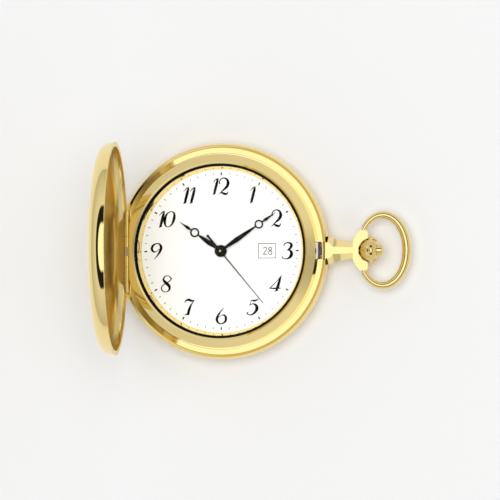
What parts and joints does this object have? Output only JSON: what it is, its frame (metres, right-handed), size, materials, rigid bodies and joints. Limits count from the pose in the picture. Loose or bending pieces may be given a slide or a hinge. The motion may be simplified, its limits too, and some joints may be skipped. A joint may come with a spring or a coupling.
{
  "type": "pocket watch",
  "caption": "Round hunter-case pocket watch: hinged cover, crown with release button, swivelling bow, calendar dial and a quartz movement.",
  "frame": {"origin": "middle of the flat on the case back, where the watch lies", "axes": "+Z is the dial's normal, +X points to the pendant at 3 o'clock, +Y to 12 o'clock"},
  "size_m": [0.0678, 0.048, 0.0498],
  "materials": {
    "gold_plate": "polished gold plating on brass",
    "seal_rubber": "matte black rubber",
    "seal_nylon": "dark nylon",
    "watch_glass": "clear polished mineral glass",
    "spring_steel": "polished spring steel",
    "dial_enamel": "satin white lacquer",
    "date_white": "white printed plastic",
    "black_lacquer": "gloss black lacquer",
    "movement_nickel": "nickel-plated brass, grained",
    "holder_plastic": "moulded white plastic",
    "wheel_brass": "cut brass, lightly polished",
    "rotor_magnet": "grey sintered magnet on a steel arbor",
    "soft_iron": "punched soft iron",
    "coil_copper": "enamelled copper wire",
    "cell_steel": "pressed stainless steel",
    "board_green": "green solder mask",
    "chip_black": "black epoxy"
  },
  "bodies": {
    "case": {"case_back": "gold_plate", "case_band": "gold_plate", "bezel": "gold_plate", "rehaut_ring": "gold_plate", "case_knuckles": "gold_plate", "pendant_neck": "gold_plate", "bow_yoke": "gold_plate", "back_gasket": "seal_rubber", "crystal_gasket": "seal_nylon", "crystal": "watch_glass", "hinge_pin": "spring_steel", "lever_screw": "spring_steel", "bridge_screws": "spring_steel", "cell_clamp": "spring_steel", "dial": "dial_enamel", "main_plate": "movement_nickel", "train_bridge": "movement_nickel", "movement_holder": "holder_plastic", "stator": "soft_iron", "coil_core": "soft_iron", "motor_coil": "coil_copper", "button_cell": "cell_steel", "circuit_board": "board_green", "timing_chip": "chip_black", "crystal_can": "cell_steel"},
    "cover": {"front_cover": "gold_plate", "cover_knuckle": "gold_plate"},
    "bow": {"bow": "gold_plate"},
    "lift_spring": {"lift_spring": "spring_steel"},
    "catch": {"cover_catch": "spring_steel", "release_collar": "spring_steel"},
    "crown_slide": {"stem_gasket": "seal_rubber"},
    "crown": {"crown": "gold_plate", "setting_stem": "spring_steel", "setting_pinion": "spring_steel"},
    "button": {"release_button": "gold_plate", "release_rod": "spring_steel", "release_pin": "spring_steel"},
    "lever": {"setting_lever": "spring_steel"},
    "rotor": {"rotor": "rotor_magnet"},
    "intermediate": {"intermediate_wheel": "wheel_brass"},
    "third": {"third_wheel": "wheel_brass"},
    "seconds": {"seconds_wheel": "wheel_brass", "second_hand": "black_lacquer"},
    "minutes": {"centre_wheel": "wheel_brass", "minute_hand": "black_lacquer"},
    "motion": {"motion_wheel": "wheel_brass"},
    "hours": {"hour_wheel": "wheel_brass", "hour_hand": "black_lacquer"},
    "date": {"date_ring": "date_white"}
  },
  "joints": [
    {"name": "cover_hinge", "type": "hinge", "parent": "case", "child": "cover", "pos_m": [-0.02133, 0, 0.0055], "axis": [0, -1, 0], "range_deg": [-83, 0], "stiffness_Nm_per_rad": 0.0025, "springref_deg": 34.38},
    {"name": "bow_swivel", "type": "hinge", "parent": "case", "child": "bow", "pos_m": [0.0318, 0, 0.0037], "axis": [0, -1, 0], "range_deg": [-90, 90]},
    {"name": "lift_slide", "type": "slide", "parent": "case", "child": "lift_spring", "axis": [1, 0, 0], "range_m": [0, 0.00051]},
    {"name": "crown_pull", "type": "slide", "parent": "case", "child": "crown_slide", "axis": [1, 0, 0], "range_m": [0, 0.0013]},
    {"name": "crown_turn", "type": "hinge", "parent": "crown_slide", "child": "crown", "pos_m": [0.03, 0, 0.0037], "axis": [1, 0, 0], "continuous": true},
    {"name": "button_press", "type": "slide", "parent": "crown", "child": "button", "axis": [-1, 0, 0], "range_m": [0, 0.0007], "stiffness_N_per_m": 300, "springref_m": -0.0005},
    {"name": "catch_slide", "type": "slide", "parent": "case", "child": "catch", "axis": [-1, 0, 0], "range_m": [0, 0.00071]},
    {"name": "lever_swing", "type": "hinge", "parent": "case", "child": "lever", "pos_m": [0.01105, -0.004, 0.0028], "axis": [0, 0, -1], "range_deg": [0, 18.8]},
    {"name": "seconds_turn", "type": "hinge", "parent": "case", "child": "seconds", "pos_m": [0, 0, 0.003], "axis": [0, 0, -1], "continuous": true},
    {"name": "minutes_turn", "type": "hinge", "parent": "case", "child": "minutes", "pos_m": [0, 0, 0.003], "axis": [0, 0, -1], "continuous": true},
    {"name": "hours_turn", "type": "hinge", "parent": "case", "child": "hours", "pos_m": [0, 0, 0.003], "axis": [0, 0, -1], "continuous": true},
    {"name": "third_turn", "type": "hinge", "parent": "case", "child": "third", "pos_m": [-0.00105, 0.00288, 0.003], "axis": [0, 0, -1], "continuous": true},
    {"name": "intermediate_turn", "type": "hinge", "parent": "case", "child": "intermediate", "pos_m": [-0.00098, -0.00271, 0.003], "axis": [0, 0, -1], "continuous": true},
    {"name": "rotor_turn", "type": "hinge", "parent": "case", "child": "rotor", "pos_m": [-0.00175, -0.00481, 0.003], "axis": [0, 0, -1], "continuous": true},
    {"name": "motion_turn", "type": "hinge", "parent": "case", "child": "motion", "pos_m": [-0.00282, -0.00103, 0.0043], "axis": [0, 0, -1], "continuous": true},
    {"name": "date_turn", "type": "hinge", "parent": "case", "child": "date", "pos_m": [0, 0, 0.0046], "axis": [0, 0, -1], "continuous": true}
  ],
  "couplings": [
    {"joint": "lift_slide", "follows": "cover_hinge", "m_per_rad": -0.00034515},
    {"joint": "catch_slide", "follows": "button_press", "ratio": 1},
    {"joint": "lever_swing", "follows": "crown_pull", "rad_per_m": 251.11},
    {"joint": "minutes_turn", "follows": "seconds_turn", "ratio": 0.016667},
    {"joint": "hours_turn", "follows": "seconds_turn", "ratio": 0.0013889},
    {"joint": "third_turn", "follows": "seconds_turn", "ratio": -0.13333},
    {"joint": "intermediate_turn", "follows": "seconds_turn", "ratio": -5},
    {"joint": "rotor_turn", "follows": "seconds_turn", "ratio": 30},
    {"joint": "motion_turn", "follows": "seconds_turn", "ratio": -0.0055556}
  ]
}
